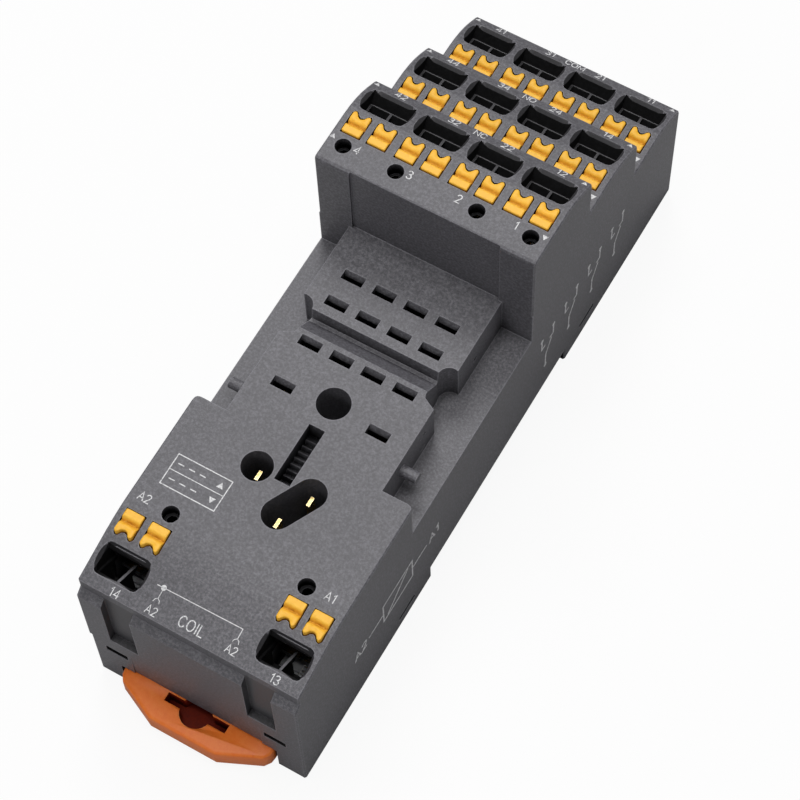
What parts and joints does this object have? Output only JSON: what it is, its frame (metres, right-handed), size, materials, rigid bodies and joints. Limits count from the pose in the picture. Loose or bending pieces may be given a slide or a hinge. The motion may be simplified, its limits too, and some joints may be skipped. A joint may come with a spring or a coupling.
{
  "type": "plug-in relay socket",
  "caption": "Rail-mounted base for a plug-in relay: stepped rows of push-in wire terminals with amber release buttons, a flat blade-slot seat and an orange rail foot.",
  "frame": {"origin": "centre of the rail seat, on the plane the rail's flanges touch", "axes": "+Z away from the rail, +X across the poles from column 4 to column 1, +Y along the socket from the coil terminals to the common terminals"},
  "size_m": [0.0302, 0.1001, 0.0414],
  "materials": {
    "housing": "fine-grained moulded dark grey plastic",
    "cover": "moulded dark grey plastic",
    "foot": "satin orange plastic",
    "button": "satin amber plastic",
    "contact": "stamped, lightly polished",
    "spring": "bright spring strip and wire"
  },
  "bodies": {
    "socket": {"housing": "housing", "bottom_cover": "cover", "rail_foot_spring": "spring", "contact_bar_42": "contact", "contact_bar_32": "contact", "contact_bar_22": "contact", "contact_bar_12": "contact", "contact_bar_44": "contact", "contact_bar_34": "contact", "contact_bar_24": "contact", "contact_bar_14": "contact", "contact_bar_41": "contact", "contact_bar_31": "contact", "contact_bar_21": "contact", "contact_bar_11": "contact", "contact_bar_a2": "contact", "contact_bar_a1": "contact", "clamp_spring_42": "spring", "clamp_spring_32": "spring", "clamp_spring_22": "spring", "clamp_spring_12": "spring", "clamp_spring_44": "spring", "clamp_spring_34": "spring", "clamp_spring_24": "spring", "clamp_spring_14": "spring", "clamp_spring_41": "spring", "clamp_spring_31": "spring", "clamp_spring_21": "spring", "clamp_spring_11": "spring", "clamp_spring_a2": "spring", "clamp_spring_a1": "spring"},
    "rail_foot_latch": {"rail_foot": "foot"},
    "button_42_left": {"release_button_42_left": "button"},
    "button_42_right": {"release_button_42_right": "button"},
    "button_32_left": {"release_button_32_left": "button"},
    "button_32_right": {"release_button_32_right": "button"},
    "button_22_left": {"release_button_22_left": "button"},
    "button_22_right": {"release_button_22_right": "button"},
    "button_12_left": {"release_button_12_left": "button"},
    "button_12_right": {"release_button_12_right": "button"},
    "button_44_left": {"release_button_44_left": "button"},
    "button_44_right": {"release_button_44_right": "button"},
    "button_34_left": {"release_button_34_left": "button"},
    "button_34_right": {"release_button_34_right": "button"},
    "button_24_left": {"release_button_24_left": "button"},
    "button_24_right": {"release_button_24_right": "button"},
    "button_14_left": {"release_button_14_left": "button"},
    "button_14_right": {"release_button_14_right": "button"},
    "button_41_left": {"release_button_41_left": "button"},
    "button_41_right": {"release_button_41_right": "button"},
    "button_31_left": {"release_button_31_left": "button"},
    "button_31_right": {"release_button_31_right": "button"},
    "button_21_left": {"release_button_21_left": "button"},
    "button_21_right": {"release_button_21_right": "button"},
    "button_11_left": {"release_button_11_left": "button"},
    "button_11_right": {"release_button_11_right": "button"},
    "button_a2_left": {"release_button_a2_left": "button"},
    "button_a2_right": {"release_button_a2_right": "button"},
    "button_a1_left": {"release_button_a1_left": "button"},
    "button_a1_right": {"release_button_a1_right": "button"}
  },
  "joints": [
    {"name": "rail_foot_pull", "type": "slide", "parent": "socket", "child": "rail_foot_latch", "axis": [0, -1, 0], "range_m": [0, 0.003], "stiffness_N_per_m": 400, "springref_m": -0.002, "deforming": ["rail_foot_spring"]},
    {"name": "press_42_left", "type": "slide", "parent": "socket", "child": "button_42_left", "axis": [0, 0, -1], "range_m": [0, 0.0018], "stiffness_N_per_m": 30, "springref_m": -0.002, "deforming": ["clamp_spring_42"]},
    {"name": "press_42_right", "type": "slide", "parent": "socket", "child": "button_42_right", "axis": [0, 0, -1], "range_m": [0, 0.0018], "stiffness_N_per_m": 30, "springref_m": -0.002, "deforming": ["clamp_spring_42"]},
    {"name": "press_32_left", "type": "slide", "parent": "socket", "child": "button_32_left", "axis": [0, 0, -1], "range_m": [0, 0.0018], "stiffness_N_per_m": 30, "springref_m": -0.002, "deforming": ["clamp_spring_32"]},
    {"name": "press_32_right", "type": "slide", "parent": "socket", "child": "button_32_right", "axis": [0, 0, -1], "range_m": [0, 0.0018], "stiffness_N_per_m": 30, "springref_m": -0.002, "deforming": ["clamp_spring_32"]},
    {"name": "press_22_left", "type": "slide", "parent": "socket", "child": "button_22_left", "axis": [0, 0, -1], "range_m": [0, 0.0018], "stiffness_N_per_m": 30, "springref_m": -0.002, "deforming": ["clamp_spring_22"]},
    {"name": "press_22_right", "type": "slide", "parent": "socket", "child": "button_22_right", "axis": [0, 0, -1], "range_m": [0, 0.0018], "stiffness_N_per_m": 30, "springref_m": -0.002, "deforming": ["clamp_spring_22"]},
    {"name": "press_12_left", "type": "slide", "parent": "socket", "child": "button_12_left", "axis": [0, 0, -1], "range_m": [0, 0.0018], "stiffness_N_per_m": 30, "springref_m": -0.002, "deforming": ["clamp_spring_12"]},
    {"name": "press_12_right", "type": "slide", "parent": "socket", "child": "button_12_right", "axis": [0, 0, -1], "range_m": [0, 0.0018], "stiffness_N_per_m": 30, "springref_m": -0.002, "deforming": ["clamp_spring_12"]},
    {"name": "press_44_left", "type": "slide", "parent": "socket", "child": "button_44_left", "axis": [0, 0, -1], "range_m": [0, 0.0018], "stiffness_N_per_m": 30, "springref_m": -0.002, "deforming": ["clamp_spring_44"]},
    {"name": "press_44_right", "type": "slide", "parent": "socket", "child": "button_44_right", "axis": [0, 0, -1], "range_m": [0, 0.0018], "stiffness_N_per_m": 30, "springref_m": -0.002, "deforming": ["clamp_spring_44"]},
    {"name": "press_34_left", "type": "slide", "parent": "socket", "child": "button_34_left", "axis": [0, 0, -1], "range_m": [0, 0.0018], "stiffness_N_per_m": 30, "springref_m": -0.002, "deforming": ["clamp_spring_34"]},
    {"name": "press_34_right", "type": "slide", "parent": "socket", "child": "button_34_right", "axis": [0, 0, -1], "range_m": [0, 0.0018], "stiffness_N_per_m": 30, "springref_m": -0.002, "deforming": ["clamp_spring_34"]},
    {"name": "press_24_left", "type": "slide", "parent": "socket", "child": "button_24_left", "axis": [0, 0, -1], "range_m": [0, 0.0018], "stiffness_N_per_m": 30, "springref_m": -0.002, "deforming": ["clamp_spring_24"]},
    {"name": "press_24_right", "type": "slide", "parent": "socket", "child": "button_24_right", "axis": [0, 0, -1], "range_m": [0, 0.0018], "stiffness_N_per_m": 30, "springref_m": -0.002, "deforming": ["clamp_spring_24"]},
    {"name": "press_14_left", "type": "slide", "parent": "socket", "child": "button_14_left", "axis": [0, 0, -1], "range_m": [0, 0.0018], "stiffness_N_per_m": 30, "springref_m": -0.002, "deforming": ["clamp_spring_14"]},
    {"name": "press_14_right", "type": "slide", "parent": "socket", "child": "button_14_right", "axis": [0, 0, -1], "range_m": [0, 0.0018], "stiffness_N_per_m": 30, "springref_m": -0.002, "deforming": ["clamp_spring_14"]},
    {"name": "press_41_left", "type": "slide", "parent": "socket", "child": "button_41_left", "axis": [0, 0, -1], "range_m": [0, 0.0018], "stiffness_N_per_m": 30, "springref_m": -0.002, "deforming": ["clamp_spring_41"]},
    {"name": "press_41_right", "type": "slide", "parent": "socket", "child": "button_41_right", "axis": [0, 0, -1], "range_m": [0, 0.0018], "stiffness_N_per_m": 30, "springref_m": -0.002, "deforming": ["clamp_spring_41"]},
    {"name": "press_31_left", "type": "slide", "parent": "socket", "child": "button_31_left", "axis": [0, 0, -1], "range_m": [0, 0.0018], "stiffness_N_per_m": 30, "springref_m": -0.002, "deforming": ["clamp_spring_31"]},
    {"name": "press_31_right", "type": "slide", "parent": "socket", "child": "button_31_right", "axis": [0, 0, -1], "range_m": [0, 0.0018], "stiffness_N_per_m": 30, "springref_m": -0.002, "deforming": ["clamp_spring_31"]},
    {"name": "press_21_left", "type": "slide", "parent": "socket", "child": "button_21_left", "axis": [0, 0, -1], "range_m": [0, 0.0018], "stiffness_N_per_m": 30, "springref_m": -0.002, "deforming": ["clamp_spring_21"]},
    {"name": "press_21_right", "type": "slide", "parent": "socket", "child": "button_21_right", "axis": [0, 0, -1], "range_m": [0, 0.0018], "stiffness_N_per_m": 30, "springref_m": -0.002, "deforming": ["clamp_spring_21"]},
    {"name": "press_11_left", "type": "slide", "parent": "socket", "child": "button_11_left", "axis": [0, 0, -1], "range_m": [0, 0.0018], "stiffness_N_per_m": 30, "springref_m": -0.002, "deforming": ["clamp_spring_11"]},
    {"name": "press_11_right", "type": "slide", "parent": "socket", "child": "button_11_right", "axis": [0, 0, -1], "range_m": [0, 0.0018], "stiffness_N_per_m": 30, "springref_m": -0.002, "deforming": ["clamp_spring_11"]},
    {"name": "press_a2_left", "type": "slide", "parent": "socket", "child": "button_a2_left", "axis": [0, 0, -1], "range_m": [0, 0.0018], "stiffness_N_per_m": 30, "springref_m": -0.002, "deforming": ["clamp_spring_a2"]},
    {"name": "press_a2_right", "type": "slide", "parent": "socket", "child": "button_a2_right", "axis": [0, 0, -1], "range_m": [0, 0.0018], "stiffness_N_per_m": 30, "springref_m": -0.002, "deforming": ["clamp_spring_a2"]},
    {"name": "press_a1_left", "type": "slide", "parent": "socket", "child": "button_a1_left", "axis": [0, 0, -1], "range_m": [0, 0.0018], "stiffness_N_per_m": 30, "springref_m": -0.002, "deforming": ["clamp_spring_a1"]},
    {"name": "press_a1_right", "type": "slide", "parent": "socket", "child": "button_a1_right", "axis": [0, 0, -1], "range_m": [0, 0.0018], "stiffness_N_per_m": 30, "springref_m": -0.002, "deforming": ["clamp_spring_a1"]}
  ]
}
